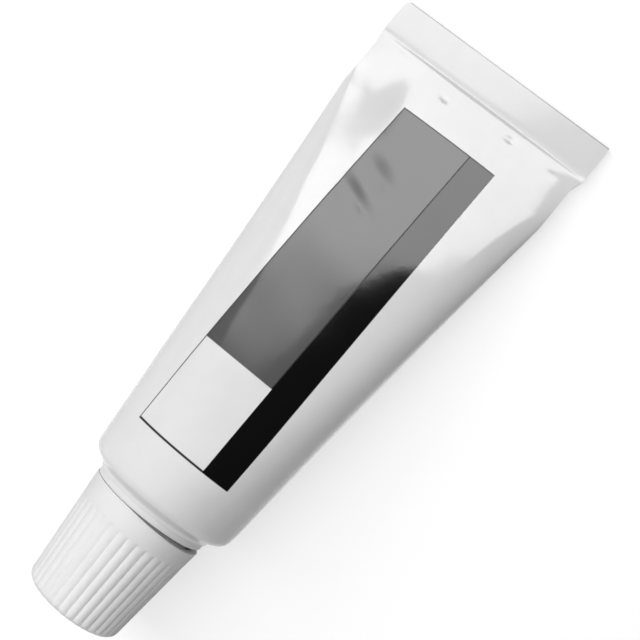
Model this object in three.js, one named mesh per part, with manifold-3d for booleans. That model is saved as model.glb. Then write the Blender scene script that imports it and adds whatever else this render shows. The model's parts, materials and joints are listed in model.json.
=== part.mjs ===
// Mounting adhesive tube: a laminate sleeve with a flat sealed tail, a moulded head with a hollow neck,
// a foil over the mouth and a ribbed cone cap with a sealing disc in its roof.
// Millimetres. In the tube's own frame x runs from the cap to the tail and z goes up through the printed
// face. x = 0 is the plane in which the rounding of the shoulder would end. The finished tube lies on its
// underside, as on a table, with the cap raised and the tail touching down.
import * as THREE from 'three';
import { mergeVertices } from 'three/addons/utils/BufferGeometryUtils.js';
import Module from 'manifold-3d';

const wasm = await Module();
wasm.setup();

// Sleeve
const TUBE_RADIUS = 9.5;
const SLEEVE_WALL = 0.38;
const ROUND_END = 3.4;            // the head's skirt holds the sleeve round up to here
const SPREAD_END = 52;            // from here to the seal the sides run parallel
const SPREAD_CURVE = 0.13;        // share of the widening that comes late
const SEAL_START = 59.9;
const TRIM_END = 64.5;
const SEAL_WIDTH = TUBE_RADIUS * Math.PI * 0.995;
const SEAL_THICKNESS = 0.8;
const NECK_IN = 0.3;              // the swollen sleeve stays this much narrower than the flat seal
const CROWN = 1.2;                // extra fullness of the upper face, half way along
const EASE = 0.05;                // share of the length over which the flattening sets in
const LENS_POWER = 3;             // how late the section turns from an ellipse into a lens
const EDGE_ANGLE = THREE.MathUtils.degToRad(2);

// Head
const SHOULDER_ROUND = 2.8;
const SLEEVE_END = 0.75;          // the curled end of the sleeve
const CONE_SLOPE = THREE.MathUtils.degToRad(30);
const CONE_FOOT_RADIUS = 6.9;
const SHOULDER_WALL = 1.15;
const SKIRT_WALL = 0.7;
const SKIRT_END = 3.2;
const NECK_RADIUS = 4.35;         // core of the thread
const NECK_ROOT_ROUND = 0.3;
const MOUTH_X = -7.6;
const MOUTH_CHAMFER = 0.4;
const BORE_RADIUS = 2.2;
const BORE_FLARE = 0.4;

// Inner pieces
const INSERT_WALL = 0.45;
const INSERT_COLLAR = 2.5;
const FOIL_RADIUS = 3.8;
const FOIL_THICKNESS = 0.12;
const LINER_RADIUS = 4.85;
const LINER_THICKNESS = 0.8;
const FILL_END = 50;

// Cap, measured from its base
const CAP_BASE_X = -0.77;
const CAP_LENGTH = 13.49;
const CAP_BASE_RADIUS = 7.31;
const CAP_END_RADIUS = 5.97;
const COLLAR_LENGTH = 2.5;
const RIB_COUNT = 36;
const RIB_DEPTH = 0.3;
const RIB_FADE = 0.8;
const CAP_END_ROUND = 0.7;
const RIB_SHARE_AT_END = 0.3;
const CAP_BASE_ROUND = 0.15;
const CAP_BORE_RADIUS = 5.0;
const CAP_ENTRY_CHAMFER = 0.45;
const CORE_OUT_RADIUS = 5.95;     // wedge-shaped groove that keeps the wall even
const CORE_OUT_WIDTH = 0.55;
const CORE_OUT_DEPTH = 3.2;
const ROOF_THICKNESS = 1.1;
const RECESS_RADIUS = 4.8;        // hollow in the outer end, round the piercing spike
const RECESS_DRAFT = 0.3;
const SPIKE_RADIUS = 1.25;
const SPIKE_LENGTH = 3.7;

// Room left between neighbours, and mesh steps
const SEAT_GAP = 0.05;
const LOOSE_GAP = 0.1;
const TURN_STEPS = 48;
const HALF_STEPS = 26;
const SLEEVE_RINGS = 10;
const RIB_STEPS = 4;
const ARC_STEPS = 5;
const FADE_STEPS = 3;
const OVERSHOOT = 1;

const WHITE_SATIN = new THREE.MeshStandardMaterial({ color: 0xf0f0ee, roughness: 0.38, metalness: 0 });
const WHITE_MOULDED = new THREE.MeshStandardMaterial({ color: 0xeeeeec, roughness: 0.5, metalness: 0 });
const NATURAL_PLASTIC = new THREE.MeshStandardMaterial({ color: 0xdcdcd4, roughness: 0.6, metalness: 0 });
const BRIGHT_FOIL = new THREE.MeshStandardMaterial({ color: 0xc8cacc, roughness: 0.25, metalness: 1 });
const SOFT_FOAM = new THREE.MeshStandardMaterial({ color: 0xe6e6e0, roughness: 0.9, metalness: 0 });
const PASTE = new THREE.MeshStandardMaterial({ color: 0xe9e4d8, roughness: 0.7, metalness: 0 });

// Solid of revolution about x. The profile holds [x, radius] points; its outer side runs towards +x.
function revolve(profile) {
  const points = profile.map(([x, radius]) => new THREE.Vector2(radius, x));
  const geometry = new THREE.LatheGeometry(points, TURN_STEPS);
  geometry.rotateZ(-Math.PI / 2);
  return positionsOnly(geometry);
}

// Closed solid through rings of equal point count, in order of x, with a flat end on the first and last.
function loft(rings) {
  const count = rings[0].length;
  const ends = [rings[0], rings.at(-1)].map((ring) => {
    const sum = ring.reduce((total, point) => total.add(point), new THREE.Vector3());
    return sum.divideScalar(count);
  });
  const vertices = [...rings.flat(), ...ends];
  const firstEnd = vertices.length - 2;
  const lastEnd = vertices.length - 1;
  const lastRing = (rings.length - 1) * count;
  const faces = [];
  for (let step = 0; step < count; step += 1) {
    const next = (step + 1) % count;
    for (let start = 0; start < lastRing; start += count) {
      const above = start + count;
      faces.push(start + step, start + next, above + step);
      faces.push(start + next, above + next, above + step);
    }
    faces.push(firstEnd, next, step);
    faces.push(lastEnd, lastRing + step, lastRing + next);
  }
  const geometry = new THREE.BufferGeometry().setFromPoints(vertices);
  geometry.setIndex(faces);
  return positionsOnly(geometry);
}

function positionsOnly(geometry) {
  geometry.deleteAttribute('normal');
  geometry.deleteAttribute('uv');
  return mergeVertices(geometry, 1e-5);
}

function solidOf(geometry) {
  const vertProperties = new Float32Array(geometry.attributes.position.array);
  const triVerts = new Uint32Array(geometry.index.array);
  return new wasm.Manifold(new wasm.Mesh({ numProp: 3, vertProperties, triVerts }));
}

function geometryOf(solid) {
  const mesh = solid.getMesh();
  const geometry = new THREE.BufferGeometry();
  geometry.setAttribute('position', new THREE.BufferAttribute(new Float32Array(mesh.vertProperties), 3));
  geometry.setIndex([...mesh.triVerts]);
  return geometry;
}

function cutAway(body, ...tools) {
  const rest = tools.reduce((solid, tool) => solid.subtract(solidOf(tool)), solidOf(body));
  return geometryOf(rest);
}

// Points of the shoulder's rounding, from one angle to another. Angle 0 is the straight wall of the sleeve,
// a right angle would be the end plane.
function shoulderArc(radius, fromAngle, toAngle) {
  const points = [];
  for (let step = 0; step <= ARC_STEPS; step += 1) {
    const angle = THREE.MathUtils.lerp(fromAngle, toAngle, step / ARC_STEPS);
    const x = SHOULDER_ROUND - radius * Math.sin(angle);
    points.push([x, TUBE_RADIUS - SHOULDER_ROUND + radius * Math.cos(angle)]);
  }
  return points;
}

// Angle round the shoulder at which an arc of this radius reaches x.
function shoulderAngle(radius, x) {
  return Math.asin((SHOULDER_ROUND - x) / radius);
}

// How far the section has gone from round (0) to flat (1): a soft start, then an even rate to the seal.
function flattening(x) {
  const along = THREE.MathUtils.clamp((x - ROUND_END) / (SEAL_START - ROUND_END), 0, 1);
  const eased = along < EASE ? along ** 2 / (2 * EASE) : along - EASE / 2;
  return eased / (1 - EASE / 2);
}

// Half the sleeve's width: it widens almost evenly from the shoulder on.
function halfWidth(x) {
  const along = THREE.MathUtils.clamp((x - SHOULDER_ROUND) / (SPREAD_END - SHOULDER_ROUND), 0, 1);
  const widened = THREE.MathUtils.lerp(along, along ** 2, SPREAD_CURVE);
  return THREE.MathUtils.lerp(TUBE_RADIUS, SEAL_WIDTH / 2 - NECK_IN, widened);
}

// One section of the sleeve, this far inside its outer skin. It goes from a circle through ellipses and
// lens shapes to the flat seal. The underside runs straight, as it lies; the upper face swells a little.
function sleeveSection(x, inset, reach = halfWidth(x)) {
  const flat = flattening(x);
  const radius = TUBE_RADIUS - inset;
  const halfThickness = SEAL_THICKNESS / 2 - inset;
  const crown = CROWN * 4 * flat * (1 - flat);
  const upper = [];
  const lower = [];
  for (let step = 0; step <= HALF_STEPS; step += 1) {
    const share = step / HALF_STEPS;
    const angle = THREE.MathUtils.lerp(EDGE_ANGLE, Math.PI - EDGE_ANGLE, share);
    const spread = THREE.MathUtils.lerp(Math.cos(angle), 1 - 2 * share, flat ** LENS_POWER);
    const y = (reach - inset) * spread;
    const height = (1 - flat) * radius * Math.sin(angle) + flat * halfThickness;
    upper.push(new THREE.Vector3(x, y, height + crown * Math.sin(angle)));
    lower.unshift(new THREE.Vector3(x, y, -height));
  }
  return [...upper, ...lower];
}

// The same ring of points on a circle, for the round stretches at the shoulder.
function roundSection(x, radius) {
  const ring = sleeveSection(ROUND_END, 0);
  return ring.map((point) => {
    const outward = Math.hypot(point.y, point.z);
    return new THREE.Vector3(x, (point.y * radius) / outward, (point.z * radius) / outward);
  });
}

// Even steps of x along the widening sleeve, from the end of its round stretch.
function sleeveStations(toX) {
  const stations = [];
  for (let ring = 0; ring <= SLEEVE_RINGS; ring += 1) {
    stations.push(THREE.MathUtils.lerp(ROUND_END, toX, ring / SLEEVE_RINGS));
  }
  return stations;
}

function tubeSleeve() {
  const innerRound = SHOULDER_ROUND - SLEEVE_WALL;
  const curl = shoulderArc(SHOULDER_ROUND, shoulderAngle(SHOULDER_ROUND, SLEEVE_END), 0);
  const innerCurl = shoulderArc(innerRound, shoulderAngle(SHOULDER_ROUND, SLEEVE_END), 0);
  const skin = [
    ...curl.map(([x, radius]) => roundSection(x, radius)),
    ...sleeveStations(SPREAD_END).map((x) => sleeveSection(x, 0)),
    sleeveSection((SPREAD_END + SEAL_START) / 2, 0),
    sleeveSection(SEAL_START, 0),
    sleeveSection(SEAL_START + NECK_IN, 0, SEAL_WIDTH / 2),
    sleeveSection(TRIM_END, 0, SEAL_WIDTH / 2),
  ];
  const hollow = [
    roundSection(SLEEVE_END - OVERSHOOT, innerCurl[0][1]),
    ...innerCurl.map(([x, radius]) => roundSection(x, radius)),
    ...sleeveStations(SPREAD_END).map((x) => sleeveSection(x, SLEEVE_WALL)),
    sleeveSection((SPREAD_END + SEAL_START) / 2, SLEEVE_WALL),
    sleeveSection(SEAL_START - SLEEVE_WALL, SLEEVE_WALL),
  ];
  return cutAway(loft(skin), loft(hollow));
}

// Inner face of the shoulder: x at a radius, between the neck bore and the skirt.
function shoulderInside(radius) {
  const slope = Math.tan(CONE_SLOPE) / 2;
  return SHOULDER_WALL - BORE_FLARE + (radius - BORE_RADIUS - BORE_FLARE) * slope;
}

function tubeHead() {
  const seatedRound = SHOULDER_ROUND - SLEEVE_WALL - SEAT_GAP;
  const skirtRadius = TUBE_RADIUS - SLEEVE_WALL - SEAT_GAP;
  const skirtInside = skirtRadius - SKIRT_WALL;
  const cornerRadius = skirtInside - SKIRT_WALL;
  const stepX = SLEEVE_END - LOOSE_GAP;
  const stepAngle = shoulderAngle(SHOULDER_ROUND, stepX);
  const flush = shoulderArc(SHOULDER_ROUND, Math.PI / 2 - CONE_SLOPE, stepAngle);
  const under = shoulderArc(seatedRound, stepAngle, 0);
  const [coneTopX, coneTopRadius] = flush[0];
  const coneFootX = coneTopX - (coneTopRadius - CONE_FOOT_RADIUS) * Math.tan(CONE_SLOPE);
  const profile = [
    [MOUTH_X, BORE_RADIUS],
    [MOUTH_X, NECK_RADIUS - MOUTH_CHAMFER],
    [MOUTH_X + MOUTH_CHAMFER, NECK_RADIUS],
    [coneFootX - NECK_ROOT_ROUND, NECK_RADIUS],
    [coneFootX, NECK_RADIUS + NECK_ROOT_ROUND],
    [coneFootX, CONE_FOOT_RADIUS],
    ...flush,
    [stepX, under[0][1]],
    ...under,
    [SKIRT_END, skirtRadius],
    [SKIRT_END, skirtInside],
    [shoulderInside(skirtInside) + SKIRT_WALL, skirtInside],
    [shoulderInside(cornerRadius), cornerRadius],
    [shoulderInside(BORE_RADIUS + BORE_FLARE), BORE_RADIUS + BORE_FLARE],
    [shoulderInside(BORE_RADIUS) - BORE_FLARE, BORE_RADIUS],
    [MOUTH_X, BORE_RADIUS],
  ];
  return revolve(profile);
}

function barrierInsert() {
  const collarOutside = BORE_RADIUS - LOOSE_GAP;
  const collarInside = collarOutside - INSERT_WALL;
  const rimRadius = TUBE_RADIUS - SLEEVE_WALL - 3 * SKIRT_WALL;
  const flareRadius = BORE_RADIUS + BORE_FLARE;
  const collarTip = shoulderInside(BORE_RADIUS) - INSERT_COLLAR;
  const face = (radius) => shoulderInside(radius) + LOOSE_GAP;
  const profile = [
    [collarTip, collarInside],
    [collarTip, collarOutside],
    [face(BORE_RADIUS) - BORE_FLARE, collarOutside],
    [face(flareRadius), flareRadius - LOOSE_GAP],
    [face(rimRadius), rimRadius],
    [face(rimRadius) + INSERT_WALL, rimRadius],
    [face(flareRadius) + INSERT_WALL, flareRadius - INSERT_WALL],
    [face(collarInside), collarInside],
    [collarTip, collarInside],
  ];
  return revolve(profile);
}

function disc(radius, thickness) {
  const profile = [
    [0, 0],
    [0, radius],
    [thickness, radius],
    [thickness, 0],
  ];
  return revolve(profile);
}

function adhesiveFill() {
  const inset = SLEEVE_WALL + SEAT_GAP;
  const boreRadius = BORE_RADIUS - 2 * LOOSE_GAP - INSERT_WALL;
  const skirtInside = TUBE_RADIUS - inset - SKIRT_WALL - LOOSE_GAP;
  const noseRadius = skirtInside - SKIRT_WALL;
  const clear = INSERT_WALL + 3 * LOOSE_GAP;
  const rings = [
    roundSection(MOUTH_X + LOOSE_GAP, boreRadius),
    roundSection(shoulderInside(BORE_RADIUS) + clear, boreRadius),
    roundSection(shoulderInside(noseRadius) + clear, noseRadius),
    roundSection(shoulderInside(skirtInside) + clear + SKIRT_WALL, skirtInside),
    roundSection(SKIRT_END + LOOSE_GAP, skirtInside),
    ...sleeveStations(FILL_END).map((x) => sleeveSection(x, inset)),
  ];
  return loft(rings);
}

// One ring of the cap's skin. Each rib is a rounded reed: flush on its crest, sharp in the valley beside it.
function capRing(x, radius, ribShare) {
  const ring = [];
  const count = RIB_COUNT * RIB_STEPS;
  for (let step = 0; step < count; step += 1) {
    const acrossRib = ((step % RIB_STEPS) / RIB_STEPS) * 2 - 1;
    const reach = radius - RIB_DEPTH * ribShare * acrossRib ** 2;
    const angle = (step / count) * 2 * Math.PI;
    ring.push(new THREE.Vector3(x, reach * Math.cos(angle), reach * Math.sin(angle)));
  }
  return ring;
}

function screwCap() {
  const taper = (CAP_BASE_RADIUS - CAP_END_RADIUS) / CAP_LENGTH;
  const coneRadius = (depth) => CAP_BASE_RADIUS - depth * taper;
  const skin = [];
  for (let step = 0; step <= ARC_STEPS; step += 1) {
    const angle = (1 - step / ARC_STEPS) * (Math.PI / 2);
    const depth = CAP_LENGTH - CAP_END_ROUND * (1 - Math.sin(angle));
    const ribShare = THREE.MathUtils.lerp(RIB_SHARE_AT_END, 1, step / ARC_STEPS);
    skin.push(capRing(-depth, coneRadius(depth) - CAP_END_ROUND * (1 - Math.cos(angle)), ribShare));
  }
  for (let step = FADE_STEPS; step >= 0; step -= 1) {
    const angle = (step / FADE_STEPS) * (Math.PI / 2);
    const depth = COLLAR_LENGTH + RIB_FADE * (1 - Math.cos(angle));
    skin.push(capRing(-depth, coneRadius(depth), Math.sin(angle)));
  }
  skin.push(capRing(-CAP_BASE_ROUND, coneRadius(CAP_BASE_ROUND), 0));
  skin.push(capRing(0, CAP_BASE_RADIUS - CAP_BASE_ROUND, 0));
  const roofDepth = CAP_BASE_X - (MOUTH_X - FOIL_THICKNESS - LINER_THICKNESS - 3 * SEAT_GAP);
  const bore = revolve([
    [-roofDepth, 0],
    [-roofDepth, CAP_BORE_RADIUS],
    [-CAP_ENTRY_CHAMFER, CAP_BORE_RADIUS],
    [0, CAP_BORE_RADIUS + CAP_ENTRY_CHAMFER],
    [OVERSHOOT, CAP_BORE_RADIUS + CAP_ENTRY_CHAMFER],
    [OVERSHOOT, 0],
  ]);
  const coreOut = revolve([
    [-CORE_OUT_DEPTH, CORE_OUT_RADIUS],
    [-CORE_OUT_DEPTH, CORE_OUT_RADIUS + CORE_OUT_WIDTH / 3],
    [0, CORE_OUT_RADIUS + CORE_OUT_WIDTH],
    [OVERSHOOT, CORE_OUT_RADIUS + CORE_OUT_WIDTH],
    [OVERSHOOT, CORE_OUT_RADIUS],
    [-CORE_OUT_DEPTH, CORE_OUT_RADIUS],
  ]);
  const floorDepth = roofDepth + ROOF_THICKNESS;
  const recess = revolve([
    [-CAP_LENGTH - OVERSHOOT, 0],
    [-CAP_LENGTH - OVERSHOOT, RECESS_RADIUS],
    [-CAP_LENGTH, RECESS_RADIUS],
    [-floorDepth, RECESS_RADIUS - RECESS_DRAFT],
    [-floorDepth, SPIKE_RADIUS],
    [-floorDepth - SPIKE_LENGTH, 0],
  ]);
  return cutAway(loft(skin), bore, coreOut, recess);
}

function piece(name, geometry, material, x = 0) {
  const mesh = new THREE.Mesh(geometry, material);
  mesh.name = name;
  mesh.position.x = x;
  return mesh;
}

// The tube lies on the underside of its shoulder and on the lower edge of its trimmed tail: the tilt is the
// least one that brings no part of the underside below the line through that edge.
function restTilt() {
  const slopes = sleeveStations(SPREAD_END).map((x) => {
    const lowest = Math.min(...sleeveSection(x, 0).map((point) => point.z));
    return Math.atan2(-SEAL_THICKNESS / 2 - lowest, TRIM_END - x);
  });
  return Math.max(...slopes);
}

const foilX = MOUTH_X - FOIL_THICKNESS - SEAT_GAP;
const linerX = foilX - LINER_THICKNESS - SEAT_GAP;

const tube = new THREE.Group();
tube.add(
  piece('tube_sleeve', tubeSleeve(), WHITE_SATIN),
  piece('tube_head', tubeHead(), WHITE_MOULDED),
  piece('barrier_insert', barrierInsert(), NATURAL_PLASTIC),
  piece('foil_membrane', disc(FOIL_RADIUS, FOIL_THICKNESS), BRIGHT_FOIL, foilX),
  piece('adhesive_fill', adhesiveFill(), PASTE),
  piece('cap_liner', disc(LINER_RADIUS, LINER_THICKNESS), SOFT_FOAM, linerX),
  piece('screw_cap', screwCap(), WHITE_MOULDED, CAP_BASE_X),
);
tube.rotation.y = restTilt();

// Origin: on the table, under the middle of the tube's box.
const lying = new THREE.Group();
lying.add(tube);
lying.updateMatrixWorld(true);
const box = new THREE.Box3().setFromObject(lying, true);
const middle = box.getCenter(new THREE.Vector3());
tube.position.set(-middle.x, -middle.y, -box.min.z);

export default lying;
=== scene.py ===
# %% [markdown]
# # A mounting adhesive tube
#
# The object is a small collapsible tube lying on a white table: a white laminate sleeve that goes from round
# to flat, a moulded head, and a ribbed cone cap on the head's neck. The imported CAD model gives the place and
# size of every piece. This lesson dresses it: each solid gets a finer mesh in the same place and a finish.

import json
import math

import bmesh
import bpy
import numpy as np
from mathutils import Matrix, Vector


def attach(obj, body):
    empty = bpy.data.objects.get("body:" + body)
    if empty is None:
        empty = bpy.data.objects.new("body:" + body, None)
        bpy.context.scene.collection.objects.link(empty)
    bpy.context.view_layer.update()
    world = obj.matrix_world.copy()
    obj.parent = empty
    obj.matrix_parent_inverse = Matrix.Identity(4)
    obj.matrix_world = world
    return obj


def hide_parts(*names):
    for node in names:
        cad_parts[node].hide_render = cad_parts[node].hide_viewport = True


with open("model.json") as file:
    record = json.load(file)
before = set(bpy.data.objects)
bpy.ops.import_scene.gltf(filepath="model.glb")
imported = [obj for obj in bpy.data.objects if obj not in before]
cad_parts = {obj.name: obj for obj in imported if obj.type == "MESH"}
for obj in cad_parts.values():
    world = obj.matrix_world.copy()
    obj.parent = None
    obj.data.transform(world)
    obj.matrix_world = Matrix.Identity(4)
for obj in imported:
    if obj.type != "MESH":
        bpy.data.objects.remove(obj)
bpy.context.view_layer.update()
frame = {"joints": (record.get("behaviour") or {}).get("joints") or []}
MM = 0.001

# %% [markdown]
# ## The tube's own frame
#
# The tube lies a little nose-up, so none of its own directions follow the world's. It is far easier to model
# it straight, along its own axis, and to turn the finished points once. The cap's hinge in the record lies on
# that axis, so it gives both the direction and a known point: the middle of the cap's base.

# %% Place of the tube's own frame
CAP_BASE_X = -0.77

cap_turn = next(joint for joint in frame["joints"] if joint["name"] == "cap_turn")
along_tube = -Vector(cap_turn["axis"]).normalized()
across_tube = Vector((0, 1, 0))
up_tube = along_tube.cross(across_tube)
tube_origin = Vector(cap_turn["pos_m"]) - along_tube * CAP_BASE_X * MM
TUBE_TO_WORLD = Matrix((along_tube, across_tube, up_tube)).transposed().to_4x4()
TUBE_TO_WORLD.translation = tube_origin


def in_world(points):
    """Points of the tube's own frame, in millimetres, as points of the world, in metres."""
    turn = np.array(TUBE_TO_WORLD.to_3x3())
    return np.asarray(points, float) * MM @ turn.T + np.array(tube_origin)


print("tube axis", tuple(round(v, 4) for v in along_tube))

# %% [markdown]
# ## Camera
#
# The photograph looks almost straight down on the printed face, from close by, with the tube lying across the
# picture's diagonal. Position, aim and turn were fitted to the tube's outline and panel corners, so they are
# given in the tube's own frame. The camera is built from its three axes, because a tracking constraint has no
# clear up direction when a camera looks down.

# %% Camera
CAMERA_AT = Vector((19.47, -16.11, 113.74))
CAMERA_AIM = Vector((27.57, -2.12, 6.0))
PICTURE_UP = math.radians(39.3)
LENS = 56.25
NEAREST_SEEN = 0.01

back = (CAMERA_AT - CAMERA_AIM).normalized()
picture_up = Vector((math.cos(PICTURE_UP), math.sin(PICTURE_UP), 0))
right = picture_up.cross(back).normalized()
camera_turn = Matrix((right, back.cross(right), back)).transposed().to_4x4()
camera_data = bpy.data.cameras.new("camera")
camera_data.lens = LENS
camera_data.clip_start = NEAREST_SEEN
camera = bpy.data.objects.new("camera", camera_data)
bpy.context.scene.collection.objects.link(camera)
camera.matrix_world = TUBE_TO_WORLD @ Matrix.Translation(CAMERA_AT * MM) @ camera_turn
bpy.context.scene.camera = camera
bpy.context.scene.view_settings.view_transform = "Standard"
print("camera at", tuple(round(v, 4) for v in camera.matrix_world.translation))

# %% [markdown]
# ## Table and backdrop
#
# The photograph is a white-on-white product shot. The tube lies on a pale sweep: a floor that curves up into
# a wall, so that no horizon shows from any side. To the camera and in reflections the sweep is white, while
# for bounced light it is a darker grey, which keeps the shaded side of the tube as dark as it is in the
# photograph. A sweep could be a curved plane, but a bowl turned round one axis looks the same from all
# sides.

# %% Node helpers
def new_material(name):
    """An empty node material, and a function that adds a node with given input values to it."""
    material = bpy.data.materials.new(name)
    material.use_nodes = True
    tree = material.node_tree
    tree.nodes.clear()

    def add(kind, values=None, **settings):
        node = tree.nodes.new(kind)
        for key, value in settings.items():
            setattr(node, key, value)
        for key, value in (values or {}).items():
            if isinstance(value, bpy.types.NodeSocket):
                tree.links.new(value, node.inputs[key])
            else:
                node.inputs[key].default_value = value
        return node

    return material, add


def grey(level):
    return (level, level, level, 1.0)


print("node helpers ready, white is", grey(1.0))

# %% Finish of the sweep
SWEEP_BOUNCE = 0.22
SWEEP_GLOW = 0.62
SWEEP_SHADE = 0.5


def white_sweep():
    material, add = new_material("white_sweep")
    path = add("ShaderNodeLightPath").outputs
    seen = add("ShaderNodeMath", {0: path["Is Camera Ray"], 1: path["Is Glossy Ray"]}, operation="MAXIMUM")
    seen = add("ShaderNodeMath", {0: seen.outputs[0], 1: path["Is Transmission Ray"]}, operation="MAXIMUM")
    glow = add("ShaderNodeEmission", {"Color": grey(1.0), "Strength": SWEEP_GLOW})
    shaded = add("ShaderNodeBsdfDiffuse", {"Color": grey(SWEEP_SHADE)})
    white = add("ShaderNodeAddShader", {0: glow.outputs[0], 1: shaded.outputs[0]})
    bounce = add("ShaderNodeBsdfDiffuse", {"Color": grey(SWEEP_BOUNCE)})
    both = add("ShaderNodeMixShader", {0: seen.outputs[0], 1: bounce.outputs[0], 2: white.outputs[0]})
    add("ShaderNodeOutputMaterial", {"Surface": both.outputs[0]})
    return material


print("sweep finish: glow", SWEEP_GLOW, "bounce", SWEEP_BOUNCE)

# %% Shape of the sweep
FLOOR_RADIUS = 1.0
COVE_RADIUS = 0.25
COVE_STEPS = 12
WALL_TOP = 0.45
SWEEP_STEPS = 96


def build_sweep():
    cove = [(FLOOR_RADIUS + COVE_RADIUS * math.sin(a), COVE_RADIUS * (1 - math.cos(a)))
            for a in np.linspace(0, math.pi / 2, COVE_STEPS)]
    profile = [*cove, (FLOOR_RADIUS + COVE_RADIUS, WALL_TOP)]
    turns = np.linspace(0, 2 * math.pi, SWEEP_STEPS, endpoint=False)
    points = [(r * math.cos(a), r * math.sin(a), z) for r, z in profile for a in turns]
    faces = [tuple(range(SWEEP_STEPS))]
    for ring in range(len(profile) - 1):
        for k in range(SWEEP_STEPS):
            low = ring * SWEEP_STEPS + k
            beside = ring * SWEEP_STEPS + (k + 1) % SWEEP_STEPS
            faces.append((low, low + SWEEP_STEPS, beside + SWEEP_STEPS, beside))
    mesh = bpy.data.meshes.new("sweep")
    mesh.from_pydata(points, [], faces)
    mesh.shade_smooth()
    mesh.materials.append(white_sweep())
    floor = bpy.data.objects.new("sweep", mesh)
    bpy.context.scene.collection.objects.link(floor)
    print("sweep", len(faces), "faces")


build_sweep()

# %% [markdown]
# ## Light
#
# The reflections in the printed panel tell where the bright things in the studio stood: a light beyond the
# tail, whose mirror image is the strong veil over the tail end, and its dimmer edge on the tube's left. The
# shading of the white parts tells the rest: broad light from above and a little from the left. One lamp can't
# be fitted to both, so there are two kinds here. The soft panels are area lamps that light the surfaces and
# don't show in reflections. The window is a glowing outline that shows only in reflections. It is a mesh,
# because an area lamp can only be a rectangle or an ellipse, and the edge of the veil in the photograph isn't
# straight. The window's corners were fitted to that edge.

# %% World and lamp helper
WORLD_LIGHT = 0.06
LAMP_AIM_HEIGHT = 5

world = bpy.data.worlds.new("world")
world.use_nodes = True
world.node_tree.nodes["Background"].inputs["Color"].default_value = grey(1.0)
world.node_tree.nodes["Background"].inputs["Strength"].default_value = WORLD_LIGHT
bpy.context.scene.world = world


def lamp(name, over_x, distance, lean, turn, width, length, radiance):
    """An area lamp that faces a point above the tube's axis at over_x. It is seen from there under two
    angles in degrees: lean towards the tail and turn to the left."""
    facing = Vector((over_x, 0, LAMP_AIM_HEIGHT))
    direction = Vector((math.tan(math.radians(lean)), math.tan(math.radians(turn)), 1)).normalized()
    data = bpy.data.lights.new(name, "AREA")
    data.shape = "RECTANGLE"
    data.size = width * MM
    data.size_y = length * MM
    data.energy = radiance * math.pi * width * length * MM * MM
    light = bpy.data.objects.new(name, data)
    bpy.context.scene.collection.objects.link(light)
    side = Vector((0, 1, 0)).cross(direction).normalized()
    turned = Matrix((side, direction.cross(side), direction)).transposed().to_4x4()
    light.matrix_world = TUBE_TO_WORLD @ Matrix.Translation((facing + direction * distance) * MM) @ turned
    light.visible_camera = False
    print(name, "energy", round(data.energy, 3))
    return light


print("world light", WORLD_LIGHT)

# %% Soft panels
soft_panels = [
    lamp("key_panel", over_x=0, distance=250, lean=0, turn=11, width=95, length=310, radiance=4.8),
    lamp("cap_panel", over_x=25, distance=400, lean=-42, turn=-6, width=150, length=500, radiance=1.3),
    lamp("side_panel", over_x=25, distance=400, lean=15, turn=50, width=150, length=150, radiance=5.6),
]
for light in soft_panels:
    light.visible_glossy = False

# %% The window that the gloss mirrors
# Corners as seen from the tube: degrees towards the tail, degrees to the left.
WINDOW = [(7, 7), (22, 7), (27, 4), (31, -3), (33, -8), (35, -20), (36, -34), (58, -34), (58, 28), (40, 31),
          (37, 57), (32, 57), (7, 42)]
WINDOW_OVER = Vector((30, 0, 6))
WINDOW_HEIGHT = 300
WINDOW_FADE = (6.3, 32)
WINDOW_GLOW = 5.8


def window_light():
    """Even light that dims towards the cap's side, as a lamp's edge does."""
    material, add = new_material("window_light")
    spot = add("ShaderNodeTexCoord").outputs["Object"]
    along = add("ShaderNodeSeparateXYZ", {0: spot}).outputs[0]
    dark, full = [WINDOW_OVER.x + WINDOW_HEIGHT * math.tan(math.radians(lean)) for lean in WINDOW_FADE]
    glow = add("ShaderNodeMapRange", {0: along, 1: dark, 2: full, 4: WINDOW_GLOW}).outputs[0]
    light = add("ShaderNodeEmission", {"Color": grey(1.0), "Strength": glow})
    add("ShaderNodeOutputMaterial", {"Surface": light.outputs[0]})
    return material


def build_window():
    slopes = [(math.tan(math.radians(lean)), math.tan(math.radians(turn))) for lean, turn in WINDOW]
    corners = [WINDOW_OVER + Vector((along, across, 1)) * WINDOW_HEIGHT for along, across in slopes]
    mesh = bpy.data.meshes.new("window")
    mesh.from_pydata(corners, [], [tuple(range(len(corners)))])
    mesh.materials.append(window_light())
    window = bpy.data.objects.new("window", mesh)
    bpy.context.scene.collection.objects.link(window)
    window.matrix_world = TUBE_TO_WORLD @ Matrix.Scale(MM, 4)
    window.visible_camera = False
    window.visible_diffuse = False
    window.visible_shadow = False
    print("window of", len(corners), "corners")


build_window()

# %% [markdown]
# ## Mesh helpers
#
# Everything on this tube is a stack of rings: round ones on the head and cap, and rings that go flat on the
# sleeve. One function joins rings into a closed skin. Another revolves a profile whose corners are rounded,
# because no moulded edge is truly sharp and the thin highlight on an edge is what makes it look real.

# %% Points and faces to a piece
def add_piece(name, points, faces, material, body, node=None, sharp_angle=40):
    """A closed mesh from points in the tube's own frame, riding on its body and standing for a CAD node."""
    mesh = bpy.data.meshes.new(name)
    mesh.from_pydata(in_world(points).tolist(), [], faces)
    work = bmesh.new()
    work.from_mesh(mesh)
    bmesh.ops.recalc_face_normals(work, faces=work.faces)
    work.to_mesh(mesh)
    work.free()
    mesh.shade_smooth()
    mesh.set_sharp_from_angle(angle=math.radians(sharp_angle))
    mesh.materials.append(material)
    piece = bpy.data.objects.new(name, mesh)
    bpy.context.scene.collection.objects.link(piece)
    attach(piece, body)
    if node:
        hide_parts(node)
    print(name, len(points), "points", len(faces), "faces")
    return piece


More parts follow.
